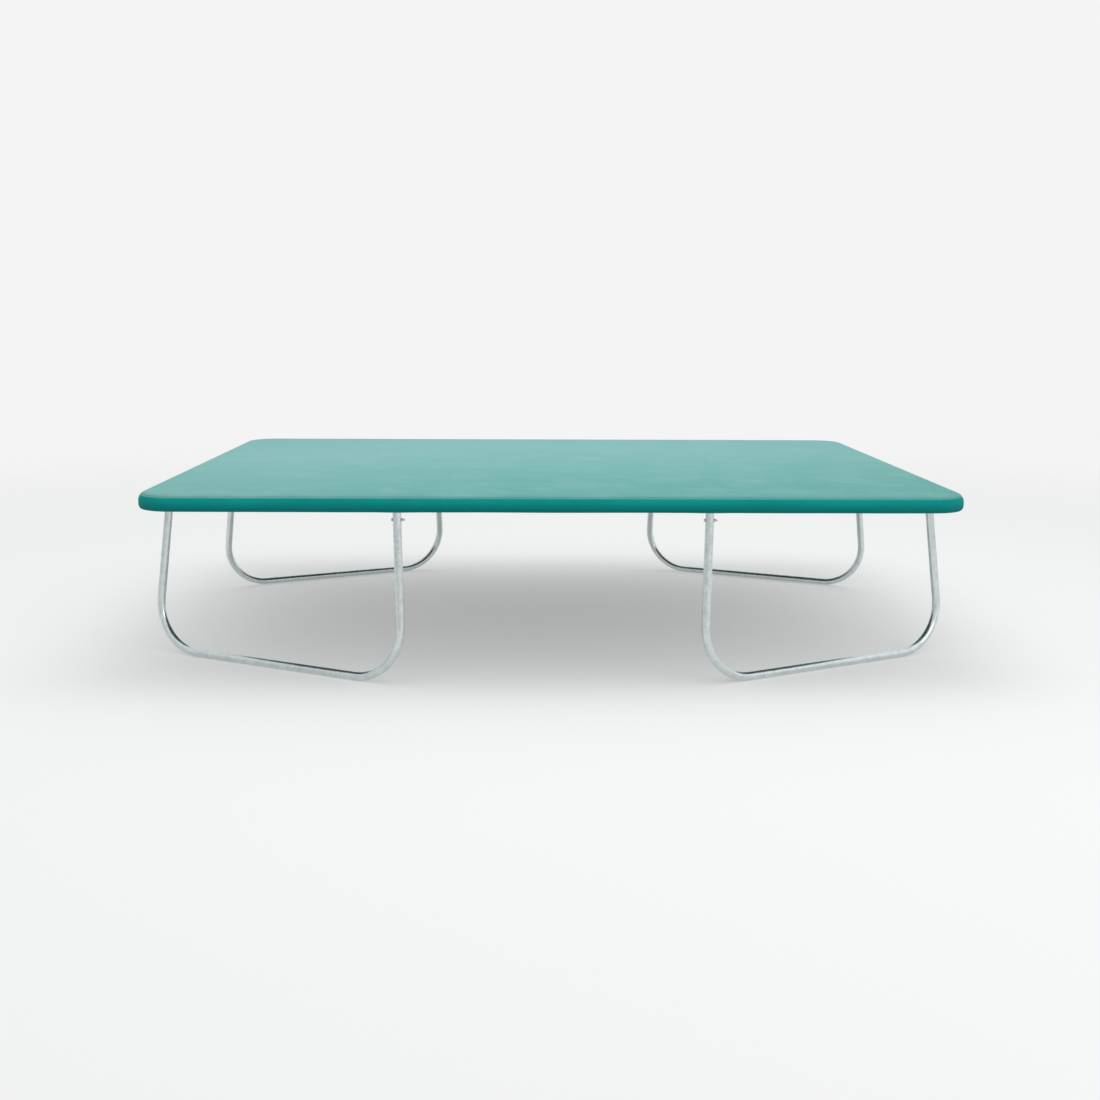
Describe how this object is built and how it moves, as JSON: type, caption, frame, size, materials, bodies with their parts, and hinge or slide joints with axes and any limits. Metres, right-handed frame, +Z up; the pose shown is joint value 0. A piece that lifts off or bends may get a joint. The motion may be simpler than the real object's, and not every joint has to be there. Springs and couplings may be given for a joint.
{
  "type": "trampoline",
  "caption": "Rectangular spring trampoline on U-shaped tube legs, with foam edge pads, under a fitted fabric cover with a darker edge band.",
  "frame": {"origin": "on the floor, under the middle of the bed", "axes": "+X along the long side, +Y to the back, +Z up"},
  "size_m": [4.4292, 3.1938, 0.98],
  "materials": {
    "galvanised_tube": "hot-dip galvanised, dull with a faint spangle",
    "zinc_fasteners": "bright zinc plate",
    "spring_wire": "galvanised spring wire",
    "pad_foam": "closed-cell foam",
    "pad_vinyl": "coated polyester, satin",
    "elastic": "braided elastic",
    "bed_weave": "tight woven polypropylene",
    "bed_webbing": "woven webbing",
    "cover_light": "woven coated polyester, matt",
    "cover_dark": "woven coated polyester, satin"
  },
  "bodies": {
    "frame": {"rail_front_left": "galvanised_tube", "rail_front_right": "galvanised_tube", "rail_back_left": "galvanised_tube", "rail_back_right": "galvanised_tube", "rail_left": "galvanised_tube", "rail_right": "galvanised_tube", "frame_corner_front_left": "galvanised_tube", "frame_corner_front_right": "galvanised_tube", "frame_corner_back_left": "galvanised_tube", "frame_corner_back_right": "galvanised_tube", "rail_spigots": "galvanised_tube", "rail_screws": "zinc_fasteners", "leg_socket_front_left_short_side": "galvanised_tube", "leg_socket_front_left_long_side": "galvanised_tube", "leg_socket_front_right_short_side": "galvanised_tube", "leg_socket_front_right_long_side": "galvanised_tube", "leg_socket_back_left_short_side": "galvanised_tube", "leg_socket_back_left_long_side": "galvanised_tube", "leg_socket_back_right_short_side": "galvanised_tube", "leg_socket_back_right_long_side": "galvanised_tube", "leg_post_front_left_short_side": "galvanised_tube", "leg_post_front_left_long_side": "galvanised_tube", "leg_post_front_right_short_side": "galvanised_tube", "leg_post_front_right_long_side": "galvanised_tube", "leg_post_back_left_short_side": "galvanised_tube", "leg_post_back_left_long_side": "galvanised_tube", "leg_post_back_right_short_side": "galvanised_tube", "leg_post_back_right_long_side": "galvanised_tube", "leg_floor_tube_front_left": "galvanised_tube", "leg_floor_tube_front_right": "galvanised_tube", "leg_floor_tube_back_left": "galvanised_tube", "leg_floor_tube_back_right": "galvanised_tube", "leg_spigots": "galvanised_tube", "leg_bolts": "zinc_fasteners", "leg_nuts": "zinc_fasteners", "leg_washers": "zinc_fasteners", "springs_front": "spring_wire", "springs_back": "spring_wire", "springs_left": "spring_wire", "springs_right": "spring_wire", "springs_corner": "spring_wire", "pad_foam_front": "pad_foam", "pad_foam_back": "pad_foam", "pad_foam_left": "pad_foam", "pad_foam_right": "pad_foam", "pad_skin_front": "pad_vinyl", "pad_skin_back": "pad_vinyl", "pad_skin_left": "pad_vinyl", "pad_skin_right": "pad_vinyl", "pad_ties": "elastic"},
    "bed": {"jump_mat": "bed_weave", "mat_webbing": "bed_webbing", "webbing_loops": "bed_webbing", "mat_rings": "spring_wire"},
    "cover": {"cover_top": "cover_light", "cover_band": "cover_dark", "cover_hem": "cover_dark", "cover_elastic": "elastic"}
  },
  "joints": [
    {"name": "bed_bounce", "type": "slide", "parent": "frame", "child": "bed", "axis": [0, 0, 1], "range_m": [-0.35, 0], "stiffness_N_per_m": 4000, "springref_m": 0.1, "deforming": ["springs_front", "springs_back", "springs_left", "springs_right", "springs_corner"]},
    {"name": "cover_lift", "type": "slide", "parent": "frame", "child": "cover", "axis": [0, 0, 1], "range_m": [0, 0.5], "deforming": ["cover_hem", "cover_elastic"]}
  ]
}
